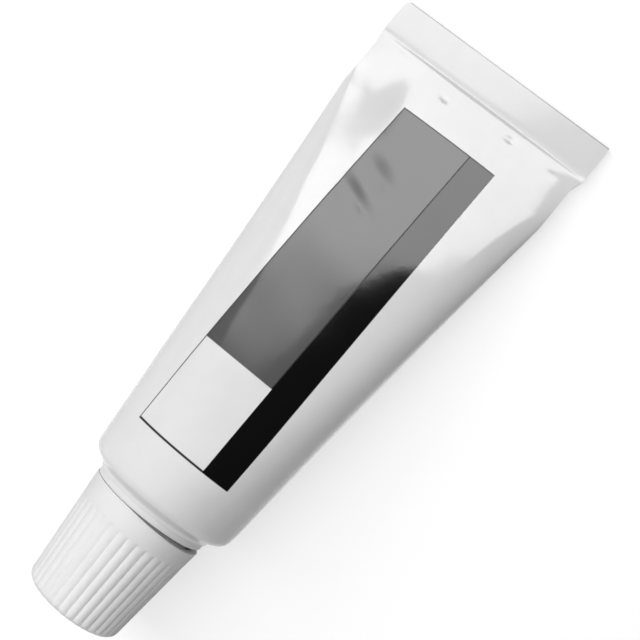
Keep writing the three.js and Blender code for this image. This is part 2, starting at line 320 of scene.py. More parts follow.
# %% Rings to faces
def ring_faces(rings, count):
    """Quads between neighbouring rings of the same point count."""
    faces = []
    for start in range(0, (rings - 1) * count, count):
        for k in range(count):
            after = (k + 1) % count
            faces.append((start + k, start + after, start + count + after, start + count + k))
    return faces


print("two rings of six points give", len(ring_faces(2, 6)), "faces")

# %% Rounded corners of a profile
ROUND_STEPS = 5
LONGEST_ROUND = 0.45


def round_corners(corners):
    """Profile points from (x, radius, rounding) corners, each rounding drawn as a short curve. It takes up
    no more than a share of the sides beside it."""
    path = [np.array(corner[:2], float) for corner in corners]
    points = [path[0]]
    for before, here, after, corner in zip(path, path[1:], path[2:], corners[1:]):
        rounding = corner[2]
        if rounding == 0:
            points.append(here)
            continue
        way_in, way_out = before - here, after - here
        start = here + way_in * min(rounding / np.linalg.norm(way_in), LONGEST_ROUND)
        end = here + way_out * min(rounding / np.linalg.norm(way_out), LONGEST_ROUND)
        for t in np.linspace(0, 1, ROUND_STEPS + 1):
            points.append((1 - t) ** 2 * start + 2 * t * (1 - t) * here + t ** 2 * end)
    points.append(path[-1])
    return points


print("corners are rounded in", ROUND_STEPS, "steps")

# %% Revolve
ON_AXIS = 1e-6


def revolve(profile, steps, reach=None):
    """Points and faces of a solid of revolution about x: closed on the axis where the profile's ends lie on
    it, and on itself otherwise. reach(ring index, radius) may give each ring other radii."""
    angles = np.linspace(0, 2 * math.pi, steps, endpoint=False)
    rings = [(x, radius) for x, radius in profile if radius > ON_AXIS]
    points = []
    for index, (x, radius) in enumerate(rings):
        radii = reach(index, radius) if reach else radius
        points += list(np.stack([np.full(steps, x), radii * np.cos(angles), radii * np.sin(angles)], 1))
    faces = ring_faces(len(rings), steps)
    last = (len(rings) - 1) * steps
    for end, start in ((profile[0], 0), (profile[-1], last)):
        if end[1] <= ON_AXIS:
            points.append(np.array([end[0], 0, 0]))
            faces += [(len(points) - 1, start + k, start + (k + 1) % steps) for k in range(steps)]
    if profile[0][1] > ON_AXIS:
        faces += [(last + k, last + (k + 1) % steps, (k + 1) % steps, k) for k in range(steps)]
    return points, faces


print("revolve ready, radii up to", ON_AXIS, "count as the axis")

# %% [markdown]
# ## The sleeve
#
# The sleeve is a piece of laminate hose, welded to the head at one end and pressed flat at the other. Its
# section goes from a circle through ellipses and lens shapes to a flat band. A subdivision cage would blur
# the straight edges and the crease at the band, so each ring is worked out from a formula.

# %% Sleeve sizes
# Millimetres in the tube's own frame, where x is 0 close to the sleeve's end at the shoulder.
TUBE_RADIUS = 9.5
SLEEVE_WALL = 0.38
SHOULDER_START = 2.4
ROUND_END = 3.4
SEAL_START = 59.9
TRIM_END = 64.5
SEAL_SHARE = 0.995
SEAL_WIDTH = TUBE_RADIUS * math.pi * SEAL_SHARE
SEAL_THICKNESS = 0.8
print("seal width", round(SEAL_WIDTH, 2))

# %% How the section changes along the tube
EASE = 0.05
SPREAD_END = 52
SPREAD_CURVE = 0.13
NECK_IN = 0.4
NECK_LENGTH = 2.2
SIDE_LEAN = 0.14
LEAN_FROM, LEAN_TO = 4, 16


def part_way(value, low, high):
    """How far a value has come from low to high, as a share from 0 to 1."""
    return min(max((value - low) / (high - low), 0), 1)


def flattening(x):
    """0 where the section is round and 1 where it is flat: slow at first, then even."""
    along = part_way(x, ROUND_END, SEAL_START)
    eased = along ** 2 / (2 * EASE) if along < EASE else along - EASE / 2
    return eased / (1 - EASE / 2)


def past_neck(x):
    """Share from 0 to 1 over the short stretch where the sleeve widens to the band."""
    along = part_way(x, SEAL_START - NECK_LENGTH, SEAL_START)
    return along ** 2 * (3 - 2 * along)


def half_width(x):
    along = part_way(x, SHOULDER_START, SPREAD_END)
    widened = along + (along ** 2 - along) * SPREAD_CURVE
    body = TUBE_RADIUS + (SEAL_WIDTH / 2 - NECK_IN - TUBE_RADIUS) * widened
    return body + NECK_IN * past_neck(x)


def side_lean(x):
    """The pressed sleeve lies a hair to the left of the head's axis, and the flat band doesn't."""
    return SIDE_LEAN * (part_way(x, LEAN_FROM, LEAN_TO) - past_neck(x))


print("half width where the spreading ends", round(half_width(SPREAD_END), 2))

# %% [markdown]
# ## Dents in the sleeve
#
# Foil laminate keeps every touch: two pinches in the printed panel, a long shallow facet near the left edge,
# small dimples below the seal, and the groove that the sealing bar leaves. They could be a bump texture, but
# then the outline and the exported mesh would stay smooth. Here each dent is a soft pit that really lowers
# the upper skin, never deeper than the wall is thick.

# %% Dents
# Each dent: x, y, half length, half width, turn of its length from the x axis in degrees, depth.
DENTS = [
    (41.0, 4.1, 2.8, 1.3, 62, 0.34),
    (44.6, 3.7, 2.8, 1.5, 58, 0.34),
    (54.6, 10.7, 4.8, 2.8, 18, 0.36),
    (57.3, 3.75, 0.7, 0.4, 70, 0.13),
    (58.1, -5.25, 0.7, 0.4, 95, 0.15),
    (57.8, -11.5, 0.8, 0.4, 100, 0.08),
    (56.9, -0.8, 4.4, 0.6, 88, 0.02),
    (58.5, 11.0, 1.4, 0.4, 80, 0.1),
    (51.3, -9.5, 1.8, 1.5, 0, 0.08),
]
# Each wave: length along x, length across, phase, height. The next line says between which x they are full.
WAVES = [(13.0, 31.0, 0.8, 0.022), (7.5, -19.0, 2.1, 0.012)]
WAVES_FROM, WAVES_TO = 16, 56
CREASE_X = 59.85
CREASE_WIDTH = 0.33
CREASE_DEPTH = 0.12


def crease_depth(x):
    return CREASE_DEPTH * math.exp(-((x - CREASE_X) / CREASE_WIDTH) ** 2)


def dent_depth(x, y):
    """How far the upper skin is pressed in at x, for an array of y."""
    depth = np.zeros_like(y)
    for dent_x, dent_y, length, width, turn, deepest in DENTS:
        turned = math.radians(turn)
        along = (x - dent_x) * math.cos(turned) + (y - dent_y) * math.sin(turned)
        beside = (y - dent_y) * math.cos(turned) - (x - dent_x) * math.sin(turned)
        depth += deepest * np.exp(-(along / length) ** 2 - (beside / width) ** 2)
    soft = part_way(x, ROUND_END, WAVES_FROM) * (1 - part_way(x, WAVES_TO, SEAL_START))
    for wave_x, wave_y, phase, height in WAVES:
        depth += soft * height * np.sin(2 * math.pi * (x / wave_x + y / wave_y) + phase)
    return depth


print(len(DENTS), "dents, deepest", max(dent[-1] for dent in DENTS), "mm")

# %% [markdown]
# ## Rings of the sleeve
#
# The rings run from the cut end of the tail over the outside to the sleeve's end at the shoulder, then back
# along the inside, so the wall is one closed skin. The section is an ellipse that goes flat, and its right
# side is squarer, because the shading in the photograph asks for a fuller side there. At the shoulder the
# laminate goes over a rounding, down a steep slope and out again in a small flared foot. The left corner of
# the tail is a little round, and a fine groove along the cut end parts its two layers.

# %% One ring of the sleeve
HALF_STEPS = 140
EDGE_ANGLE = math.radians(2)
RIGHT_FOLD = 0.4
FOLD_PACE = 1.15
FOLD_EASE = 0.08
LENS_POWER = 10
CROWN = 1.2
BELLY_SHARE = 0.996
CREASE_RUN_OUT = 8
CORNER_ROUND = 0.9
CORNER_START = TRIM_END - CORNER_ROUND


def right_fold(flat):
    """How much squarer the right side is than an ellipse: none where it is round or flat, most in between."""
    rise = math.sin(math.pi * min(FOLD_PACE * flat, 1))
    return RIGHT_FOLD * rise / math.sqrt(rise + FOLD_EASE)


def sleeve_ring(x, inset=0.0, dented=False):
    """One closed ring: the upper half from left to right, then the lower half back."""
    flat = flattening(x)
    share = np.linspace(0, 1, HALF_STEPS + 1)
    angle = EDGE_ANGLE + (math.pi - 2 * EDGE_ANGLE) * share
    power = np.where(share > 0.5, 1 - right_fold(flat), 1)
    round_out = np.sign(np.cos(angle)) * np.abs(np.cos(angle)) ** power
    round_up = np.sin(angle) ** power
    spread = round_out + (1 - 2 * share - round_out) * flat ** LENS_POWER
    y = (half_width(x) - inset) * spread
    into_corner = max(x - CORNER_START, 0)
    cut = CORNER_ROUND - math.sqrt(CORNER_ROUND ** 2 - into_corner ** 2)
    y = np.where(y > 0, y * (1 - cut / half_width(x)), y) + side_lean(x)
    height = (1 - flat) * (TUBE_RADIUS - inset) * round_up + flat * (SEAL_THICKNESS / 2 - inset)
    upper = height + CROWN * 4 * flat * (1 - flat) * round_up
    if dented:
        upper = upper - dent_depth(x, y) * np.sin(angle)
        upper = upper - crease_depth(x) * np.minimum(np.sin(angle) * CREASE_RUN_OUT, 1)
    top = np.stack([np.full_like(y, x), y, upper], 1)
    bottom = np.stack([np.full_like(y, x), y, -height * BELLY_SHARE], 1)
    return np.concatenate([top, bottom[::-1]])


print("a ring has", len(sleeve_ring(ROUND_END)), "points")

# %% The shoulder
SHOULDER_RADIUS = 9.44
SHOULDER_ROUND = 1.5
SHOULDER_SLOPE = math.radians(60)
SLOPE_LENGTH = 0.95
FOOT_ROUND = 0.9
FOOT_SLOPE = math.radians(15)
CREST_RINGS, FOOT_RINGS = 12, 8


def shoulder_curve(inset):
    """(x, radius) from the sleeve's flared end up the slope and over the rounding, set in by an inset."""
    crest, flare = SHOULDER_ROUND - inset, FOOT_ROUND + inset
    steep, shallow = math.sin(SHOULDER_SLOPE), math.cos(SHOULDER_SLOPE)
    middle = SHOULDER_RADIUS - SHOULDER_ROUND
    over = [(SHOULDER_START - crest * math.sin(angle), middle + crest * math.cos(angle))
            for angle in np.linspace(0, SHOULDER_SLOPE, CREST_RINGS)]
    slope_x = over[-1][0] - SLOPE_LENGTH * shallow
    slope_radius = over[-1][1] - SLOPE_LENGTH * steep
    foot = []
    for angle in np.linspace(SHOULDER_SLOPE, FOOT_SLOPE, FOOT_RINGS):
        foot_x = slope_x - flare * (steep - math.sin(angle))
        foot.append((foot_x, slope_radius - flare * (math.cos(angle) - shallow)))
    return (over + foot)[::-1]


def round_ring(x, radius):
    """The same ring of points on a circle, for the round stretch at the shoulder."""
    ring = sleeve_ring(ROUND_END)
    ring[:, 1:] *= radius / np.hypot(ring[:, 1], ring[:, 2])[:, None]
    ring[:, 0] = x
    return ring


def shoulder_rings(inset):
    return [round_ring(x, radius) for x, radius in shoulder_curve(inset)]


print("the sleeve's end lies at x, radius", [round(v, 2) for v in shoulder_curve(0)[0]])

# %% All rings of the sleeve
# Stretches of the outside: from x, to x, rings. They are closest at the dents and at the crease.
STRETCHES = [(ROUND_END, 38, 60), (38.2, 59.2, 106), (59.28, 60.4, 15), (60.8, CORNER_START, 8)]
CORNER_TURNS = (0.2, 1.4, 7)
INNER_RINGS = 30
TRIM_EDGE = 0.1
LAYER_GAP = 0.03


def outer_stations():
    """x of the outer rings, the last few of them round the tail's left corner."""
    corner = CORNER_START + CORNER_ROUND * np.sin(np.linspace(*CORNER_TURNS))
    return np.concatenate([*(np.linspace(*stretch) for stretch in STRETCHES), corner])


def sleeve_rings():
    half = SEAL_THICKNESS / 2
    outside = shoulder_rings(0) + [sleeve_ring(x, dented=True) for x in outer_stations()]
    cut_end = [
        sleeve_ring(TRIM_END, TRIM_EDGE),
        sleeve_ring(TRIM_END, half - LAYER_GAP),
        sleeve_ring(TRIM_END - TRIM_EDGE, half - LAYER_GAP / 2),
    ]
    inner_stations = np.linspace(ROUND_END, SEAL_START - SLEEVE_WALL, INNER_RINGS)
    inside = shoulder_rings(SLEEVE_WALL) + [sleeve_ring(x, SLEEVE_WALL) for x in inner_stations]
    return (outside + cut_end)[::-1] + inside


print(len(sleeve_rings()), "rings of", 2 * (HALF_STEPS + 1), "points")

# %% [markdown]
# ## Finish of the sleeve: white laminate with a printed panel
#
# The print is ink on the laminate, not a label with an edge of its own. It is drawn by the material from
# numbers that each point of the mesh carries: how far along the tube it lies, how far round from the middle
# of the printed face, and whether it is on the upper half. Comparing those with the panel's borders gives
# edges that stay sharp at any zoom, which an image would not. Laminate is smooth and glossy, with a faint
# unevenness of gloss and ink. The thin line round the panel has less gloss, and a grey line along the cut
# end is painted shade, where the edge turns down.

# %% Helpers for finishes
FINE_BUMP = 0.0001


def noise(add, spot, scale, detail):
    """A soft unevenness from 0 to 1."""
    return add("ShaderNodeTexNoise", {"Vector": spot, "Scale": scale, "Detail": detail}).outputs[0]


def ranged(add, value, start, end):
    """A value that goes from 0 to 1, made to go from start to end."""
    return add("ShaderNodeMapRange", {0: value, 3: start, 4: end}).outputs[0]


def even_grey(add, tone):
    return add("ShaderNodeCombineColor", {0: tone, 1: tone, 2: tone}).outputs[0]


def bumps(add, height, strength, depth=FINE_BUMP):
    return add("ShaderNodeBump", {"Height": height, "Strength": strength, "Distance": depth}).outputs[0]


def set_surface(add, values):
    shader = add("ShaderNodeBsdfPrincipled", values)
    add("ShaderNodeOutputMaterial", {"Surface": shader.outputs[0]})


print("finish helpers ready, bumps up to", FINE_BUMP, "m deep")

# %% Borders and inks of the panel
PANEL_FROM, PANEL_TO = 7.15, 53.4
PANEL_LEFT, PANEL_RIGHT = 6.6, -6.6
STRIPE_LEFT = -3.1
SQUARE_TO = 18.45
END_LINE = 0.25
SIDE_LINE = 0.13
EDGE_BLUR = 0.05
LAMINATE_WHITE = 0.87
INK_GREY = 0.105
INK_BLACK = 0.003
# Painted shade: a grey line along the cut end, where the edge turns down.
EDGE_SHADE_WIDTH = 0.15
EDGE_SHADE_GREY = 0.5
print("panel", round(PANEL_TO - PANEL_FROM, 2), "by", PANEL_LEFT - PANEL_RIGHT, "mm")

# %% Printed laminate
INK_MOTTLE = 0.03
GLOSS_FROM, GLOSS_TO = 0.09, 0.15
DULL_LINE = 0.5


def printed_laminate():
    material, add = new_material("printed_laminate")
    place = add("ShaderNodeAttribute", attribute_name="print_place")
    along, across, printed_side = add("ShaderNodeSeparateXYZ", {0: place.outputs["Vector"]}).outputs[:3]

    def math_node(operation, a, b):
        return add("ShaderNodeMath", {0: a, 1: b}, operation=operation).outputs[0]

    def between(value, low, high):
        """1 between two borders and 0 outside them, with a hair of blur."""
        up = add("ShaderNodeMapRange", {0: value, 1: low - EDGE_BLUR, 2: low + EDGE_BLUR})
        down = add("ShaderNodeMapRange", {0: value, 1: high - EDGE_BLUR, 2: high + EDGE_BLUR})
        return math_node("SUBTRACT", up.outputs[0], down.outputs[0])

    def block(x_low, x_high, y_low, y_high):
        area = math_node("MULTIPLY", between(along, x_low, x_high), between(across, y_low, y_high))
        return math_node("MULTIPLY", area, printed_side)

    def over(below, level, mask):
        return add("ShaderNodeMix", {0: mask, 6: below, 7: grey(level)}, data_type="RGBA").outputs[2]

    left, tail = PANEL_LEFT - SIDE_LINE, PANEL_TO - SIDE_LINE
    line = STRIPE_LEFT + SIDE_LINE
    printed = block(PANEL_FROM, PANEL_TO, PANEL_RIGHT, PANEL_LEFT)
    colour = over(grey(LAMINATE_WHITE), INK_BLACK, printed)
    colour = over(colour, INK_GREY, block(SQUARE_TO, tail, line, left))
    colour = over(colour, LAMINATE_WHITE, block(PANEL_FROM + END_LINE, SQUARE_TO, STRIPE_LEFT, left))
    # Painted shade: a grey line along the cut end, where the edge turns down.
    colour = over(colour, EDGE_SHADE_GREY, between(along, TRIM_END - EDGE_SHADE_WIDTH, TRIM_END + 1))
    stripe = block(PANEL_FROM, tail, PANEL_RIGHT, STRIPE_LEFT)
    field = block(PANEL_FROM + END_LINE, tail, line, left)
    dull = math_node("SUBTRACT", math_node("SUBTRACT", printed, stripe), field)

    spot = add("ShaderNodeTexCoord").outputs["Object"]
    mottle = noise(add, spot, scale=420.0, detail=4.0)
    tone = ranged(add, mottle, 1 - INK_MOTTLE, 1 + INK_MOTTLE)
    mottled = add("ShaderNodeMix", {0: 1.0, 6: colour, 7: tone}, data_type="RGBA", blend_type="MULTIPLY")
    haze = noise(add, spot, scale=160.0, detail=3.0)
    gloss = ranged(add, haze, GLOSS_FROM, GLOSS_TO)
    gloss = math_node("ADD", gloss, math_node("MULTIPLY", dull, DULL_LINE))
    peel = noise(add, spot, scale=900.0, detail=2.0)
    skin = bumps(add, peel, strength=0.06)
    set_surface(add, {"Base Color": mottled.outputs[2], "Roughness": gloss, "Normal": skin, "IOR": 1.5})
    return material


print("laminate roughness from", GLOSS_FROM, "to", GLOSS_TO)

# %% Build the sleeve
def arc_from_top(ring):
    """Signed length round the upper half, positive to the left, from the tube's own middle plane."""
    upper = ring[:HALF_STEPS + 1, 1:]
    steps = np.linalg.norm(np.diff(upper, axis=0), axis=1)
    length = np.concatenate([[0], np.cumsum(steps)])
    return length[HALF_STEPS // 2] - length + upper[HALF_STEPS // 2, 0]


def flat_end_faces(start):
    """Quads that close a flat ring by joining its upper half to its lower half."""
    last = start + 2 * HALF_STEPS + 1
    return [(start + k, start + k + 1, last - k - 1, last - k) for k in range(HALF_STEPS)]


def stack_faces(rings):
    """Faces of a stack of such rings, closed at both ends."""
    count = len(rings[0])
    return ring_faces(len(rings), count) + flat_end_faces(0) + flat_end_faces((len(rings) - 1) * count)


def build_sleeve():
    rings = sleeve_rings()
    piece = add_piece("sleeve", np.concatenate(rings), stack_faces(rings), printed_laminate(),
                      "tube", "tube_sleeve", sharp_angle=30)
    place = np.zeros((len(rings), len(rings[0]), 3))
    for index, ring in enumerate(rings):
        arc = arc_from_top(ring)
        place[index, :, 0] = ring[:, 0]
        place[index, :, 1] = np.concatenate([arc, arc[::-1]])
        place[index, :HALF_STEPS + 1, 2] = 1
    attribute = piece.data.attributes.new("print_place", "FLOAT_VECTOR", "POINT")
    attribute.data.foreach_set("vector", place.ravel())


build_sleeve()

# %% [markdown]
# ## Moulded white plastic
#
# Head and cap are moulded in the same kind of white plastic. Up close it is not one flat colour: it has a
# faint mottling and a very fine orange-peel skin that softens its reflections. A plain white shader would
# leave the narrow valleys between the cap's ribs too dark, so a little light goes into this one and comes
# out again.

# %% Moulded plastic
MOTTLE = 0.02
GLOSS_SWING = 0.04


def moulded_plastic(name, level, roughness, glow=0.25, depth=0.0015):
    material, add = new_material(name)
    spot = add("ShaderNodeTexCoord").outputs["Object"]
    mottle = noise(add, spot, scale=260.0, detail=3.0)
    tone = ranged(add, mottle, level * (1 - MOTTLE), level * (1 + MOTTLE))
    haze = noise(add, spot, scale=700.0, detail=2.0)
    gloss = ranged(add, haze, roughness - GLOSS_SWING, roughness + GLOSS_SWING)
    peel = noise(add, spot, scale=2600.0, detail=2.0)
    skin = bumps(add, peel, strength=0.08)
    set_surface(add, {
        "Base Color": even_grey(add, tone), "Roughness": gloss, "Normal": skin, "IOR": 1.5,
        "Subsurface Weight": glow, "Subsurface Radius": (1.0, 1.0, 1.0), "Subsurface Scale": depth})
    return material


head_plastic = moulded_plastic("head_plastic", level=0.86, roughness=0.32)
print("finish", head_plastic.name)

# %% [markdown]
# ## The head
#
# The head is the moulded shoulder and neck that the sleeve is welded to. While the cap is on, only a narrow
# ledge of it shows, between the sleeve's flared end and the cap. The neck shows when the cap is off. It is a
# turned part, so a revolve of its profile gives it, with small roundings at its corners.

# %% Head sizes
HEAD_STEPS = 160
CONE_SLOPE = math.radians(30)
LEDGE_RADIUS = 7.25
LEDGE_END_X = 0.0
HEAD_FOOT_X = -0.7
SHOULDER_WALL = 1.15
SKIRT_WALL = 0.7
SKIRT_END = 3.2
NECK_RADIUS = 4.35
MOUTH_X = -7.6
MOUTH_CHAMFER = 0.4
BORE_RADIUS = 2.2
BORE_FLARE = 0.4
SEAT_GAP = 0.05
CLOSING_BEVEL = 0.1
skirt_radius = TUBE_RADIUS - SLEEVE_WALL - SEAT_GAP
print("neck", round(HEAD_FOOT_X - MOUTH_X, 2), "mm long, skirt radius", round(skirt_radius, 2))

# %% Head
def shoulder_inside(radius):
    """Inner face of the shoulder: x at a radius."""
    return SHOULDER_WALL - BORE_FLARE + (radius - BORE_RADIUS - BORE_FLARE) * math.tan(CONE_SLOPE) / 2


def head_profile():
    """Corners as x, radius and rounding, from the mouth over the outside and back through the bore."""
    inside = skirt_radius - SKIRT_WALL
    corner = inside - SKIRT_WALL
    under_sleeve = [(x, radius, 0) for x, radius in shoulder_curve(SLEEVE_WALL + SEAT_GAP)]
    return [
        (MOUTH_X, BORE_RADIUS, 0),
        (MOUTH_X, NECK_RADIUS, MOUTH_CHAMFER),
        (HEAD_FOOT_X, NECK_RADIUS, 0.3),
        (HEAD_FOOT_X, LEDGE_RADIUS, 0.15),
        (LEDGE_END_X, LEDGE_RADIUS, 0),
        *under_sleeve,
        (SKIRT_END, skirt_radius, 0.1),
        (SKIRT_END, inside, 0.1),
        (shoulder_inside(inside) + SKIRT_WALL, inside, 0.3),
        (shoulder_inside(corner), corner, 0.3),
        (shoulder_inside(BORE_RADIUS + BORE_FLARE), BORE_RADIUS + BORE_FLARE, 0.2),
        (shoulder_inside(BORE_RADIUS) - BORE_FLARE, BORE_RADIUS, 0.1),
        (MOUTH_X + CLOSING_BEVEL, BORE_RADIUS, 0),
    ]


points, faces = revolve(round_corners(head_profile()), HEAD_STEPS)
add_piece("head", points, faces, head_plastic, "tube", "tube_head")

# %% [markdown]
# ## The thread on the neck
#
# The cap is held by a coarse right-handed thread. A screw modifier could wind it, but a ridge that is swept
# by a loop can also fade out at both ends, as a moulded thread does. The same function winds the cap's
# thread, half a pitch further along, so that each runs in the other's groove when the cap is turned.

# %% Neck thread
THREAD_PITCH = 2.5
THREAD_STEPS = 72
THREAD_FADE = math.radians(50)
THREAD_TIP = 0.02
THREAD_START = MOUTH_X + 1.1
NECK_TURNS = 2.0
NECK_CREST = 4.82
# Section of the ridge: millimetres along the axis, share of its height.
RIDGE_SIDE = [(0.26, 1), (0.4, 0.75), (0.62, 0), (0.62, -0.25)]
RIDGE = [(-beside, rise) for beside, rise in RIDGE_SIDE[::-1]] + RIDGE_SIDE


def thread_ridge(from_x, turns, root, crest):
    """A helical ridge between two radii, from an x on, whose ends fade out."""
    whole = 2 * math.pi * turns
    rows = []
    for angle in np.linspace(0, whole, int(THREAD_STEPS * turns) + 1):
        to_end = min(angle, whole - angle) + THREAD_TIP
        fade = math.sin(math.pi / 2 * min(1, to_end / THREAD_FADE))
        for beside, rise in RIDGE:
            radius = root + (crest - root) * (rise * fade if rise > 0 else rise)
            x = from_x + THREAD_PITCH * angle / (2 * math.pi) + beside
            rows.append((x, radius * math.cos(angle), radius * math.sin(angle)))
    count = len(RIDGE)
    faces = ring_faces(len(rows) // count, count)
    faces += [tuple(range(count)), tuple(range(len(rows) - count, len(rows)))]
    return rows, faces


points, faces = thread_ridge(THREAD_START, NECK_TURNS, NECK_RADIUS, NECK_CREST)
add_piece("neck_thread", points, faces, head_plastic, "tube")

# %% [markdown]
# ## The barrier insert
#
# Inside the head of a laminate tube lies a thin conical washer that keeps the contents away from the bare
# plastic. It is hidden, but it is a piece of its own, so it gets its true turned shape and the duller look of
# uncoloured plastic.

# %% Barrier insert
INSERT_WALL = 0.45
INSERT_COLLAR = 2.5
LOOSE_GAP = 0.1


def insert_profile():
    """Corners as x, radius and rounding, from the tip of the collar out to the rim and back."""
    outside = BORE_RADIUS - LOOSE_GAP
    inside = outside - INSERT_WALL
    rim = TUBE_RADIUS - SLEEVE_WALL - 3 * SKIRT_WALL
    flare = BORE_RADIUS + BORE_FLARE
    tip = shoulder_inside(BORE_RADIUS) - INSERT_COLLAR
    return [
        (tip, inside + CLOSING_BEVEL, 0),
        (tip, outside, 0.1),
        (shoulder_inside(BORE_RADIUS) + LOOSE_GAP - BORE_FLARE, outside, 0.1),
        (shoulder_inside(flare) + LOOSE_GAP, flare - LOOSE_GAP, 0.2),
        (shoulder_inside(rim) + LOOSE_GAP, rim, 0.1),
        (shoulder_inside(rim) + LOOSE_GAP + INSERT_WALL, rim, 0.1),
        (shoulder_inside(flare) + LOOSE_GAP + INSERT_WALL, flare - INSERT_WALL, 0.2),
        (shoulder_inside(inside) + LOOSE_GAP, inside, 0.2),
        (tip, inside, 0),
    ]


insert_plastic = moulded_plastic("insert_plastic", level=0.72, roughness=0.4)
points, faces = revolve(round_corners(insert_profile()), HEAD_STEPS)
add_piece("insert", points, faces, insert_plastic, "tube", "barrier_insert")

# %% [markdown]
# ## The foil over the mouth
#
# A disc of aluminium foil is sealed on the mouth and pierced once. It lies flat where the mouth's wall is
# under it, and its free middle stays slightly wrinkled. The wrinkles could be a bump, but they are shaped in
# the mesh, so that the exported disc has them too.

# %% Finish of the foil
def mouth_foil():
    material, add = new_material("mouth_foil")
    spot = add("ShaderNodeTexCoord").outputs["Object"]
    grain = noise(add, spot, scale=900.0, detail=4.0)
    tone = ranged(add, grain, start=0.72, end=0.84)
    gloss = ranged(add, grain, start=0.2, end=0.38)
    skin = bumps(add, grain, strength=0.25)
    set_surface(add, {
        "Base Color": even_grey(add, tone), "Roughness": gloss, "Normal": skin, "Metallic": 1.0})
    return material


foil_finish = mouth_foil()
print("finish", foil_finish.name)

# %% Foil
FOIL_RADIUS = 3.8
FOIL_THICKNESS = 0.12
FOIL_EDGE = 0.03
FOIL_RINGS = 16
FOIL_STEPS = 96
FOIL_SAG = 0.03
# Each wrinkle: share of the sag, waves round the disc, twist in radians per millimetre.
WRINKLES = [(0.8, 5, 3), (0.5, 9, -4)]
foil_x = MOUTH_X - FOIL_THICKNESS - SEAT_GAP


def foil_profile():
    radii = np.linspace(0, FOIL_RADIUS - FOIL_EDGE, FOIL_RINGS)
    outer = [(foil_x, radius) for radius in radii]
    inner = [(foil_x + FOIL_THICKNESS, radius) for radius in radii[::-1]]
    return outer + [(foil_x + FOIL_THICKNESS / 2, FOIL_RADIUS)] + inner


points, faces = revolve(foil_profile(), FOIL_STEPS)
points = np.array(points)
out = np.hypot(points[:, 1], points[:, 2])
turn = np.arctan2(points[:, 2], points[:, 1])
free = np.clip(1 - out / BORE_RADIUS, 0, 1)
wrinkled = np.ones_like(out)
for share, waves, twist in WRINKLES:
    wrinkled += share * np.sin(waves * turn + twist * out)
points[:, 0] += FOIL_SAG * free * wrinkled
add_piece("foil", points, faces, foil_finish, "tube", "foil_membrane")

# %% [markdown]
# ## The paste
#
# The tube is full of a thick off-white paste that takes the shape of its inside, from the neck to a little
# short of the seal. It could be left as the CAD solid, because it is hidden, but the sleeve's own rings, set
# in by the wall, give a form that fits the finer sleeve.

# %% Finish of the paste
PASTE_DARK = (0.8, 0.76, 0.67, 1)
PASTE_PALE = (0.86, 0.82, 0.74, 1)
PASTE_LUMPS = 0.0003


def adhesive_paste():
    material, add = new_material("adhesive_paste")
    spot = add("ShaderNodeTexCoord").outputs["Object"]
    lumps = noise(add, spot, scale=300.0, detail=4.0)
    colour = add("ShaderNodeMix", {0: lumps, 6: PASTE_DARK, 7: PASTE_PALE}, data_type="RGBA").outputs[2]
    skin = bumps(add, lumps, strength=0.4, depth=PASTE_LUMPS)
    set_surface(add, {"Base Color": colour, "Normal": skin, "Roughness": 0.45, "IOR": 1.48})
    return material


paste_finish = adhesive_paste()
print("finish", paste_finish.name)

# %% Paste
FILL_END = 50
FILL_RINGS = 40


def paste_rings():
    inset = SLEEVE_WALL + SEAT_GAP
    bore = BORE_RADIUS - 2 * LOOSE_GAP - INSERT_WALL
    inside = skirt_radius - SKIRT_WALL - LOOSE_GAP
    nose = inside - SKIRT_WALL
    clear = INSERT_WALL + 3 * LOOSE_GAP
    rings = [
        round_ring(MOUTH_X + LOOSE_GAP, bore),
        round_ring(shoulder_inside(BORE_RADIUS) + clear, bore),
        round_ring(shoulder_inside(nose) + clear, nose),
        round_ring(shoulder_inside(inside) + clear + SKIRT_WALL, inside),
        round_ring(SKIRT_END + LOOSE_GAP, inside),
    ]
    return rings + [sleeve_ring(x, inset) for x in np.linspace(ROUND_END, FILL_END, FILL_RINGS)]


rings = paste_rings()
add_piece("paste", np.concatenate(rings), stack_faces(rings), paste_finish,
          "tube", "adhesive_fill")

# %% [markdown]
# ## The cap
#
# The cap is a hollow cone with rounded reeds for grip, moulded in one with a spike in its outer end that
# pierces the foil. The reeds start from a plain collar and run out over the rounded end. They could be an
# array of separate bars, but one revolve whose outer rings are drawn in between the reeds gives a single
# closed skin. The base of the cap is a hair askew, so the slit below it is hardly open on the left and opens
# to the right.

# %% Cap sizes
CAP_LENGTH = 13.48
CAP_BASE_RADIUS = 7.31
CAP_END_RADIUS = 5.97
COLLAR_LENGTH = 2.5
LINER_THICKNESS = 0.8
roof_depth = CAP_BASE_X - (MOUTH_X - FOIL_THICKNESS - LINER_THICKNESS - 3 * SEAT_GAP)
taper = (CAP_BASE_RADIUS - CAP_END_RADIUS) / CAP_LENGTH
print("cap roof", round(roof_depth, 2), "mm above the base")

# %% Outer skin of the cap
RIB_FADE = 1.3
RIB_SHARE_AT_END = 0.3
CAP_END_ROUND = 0.7
CAP_BASE_ROUND = 0.1
BASE_ROUND_FROM = 0.2
RING_GAP = 0.3
END_RINGS, REED_RINGS, FADE_RINGS, COLLAR_RINGS, BASE_RINGS = 9, 24, 8, 4, 5


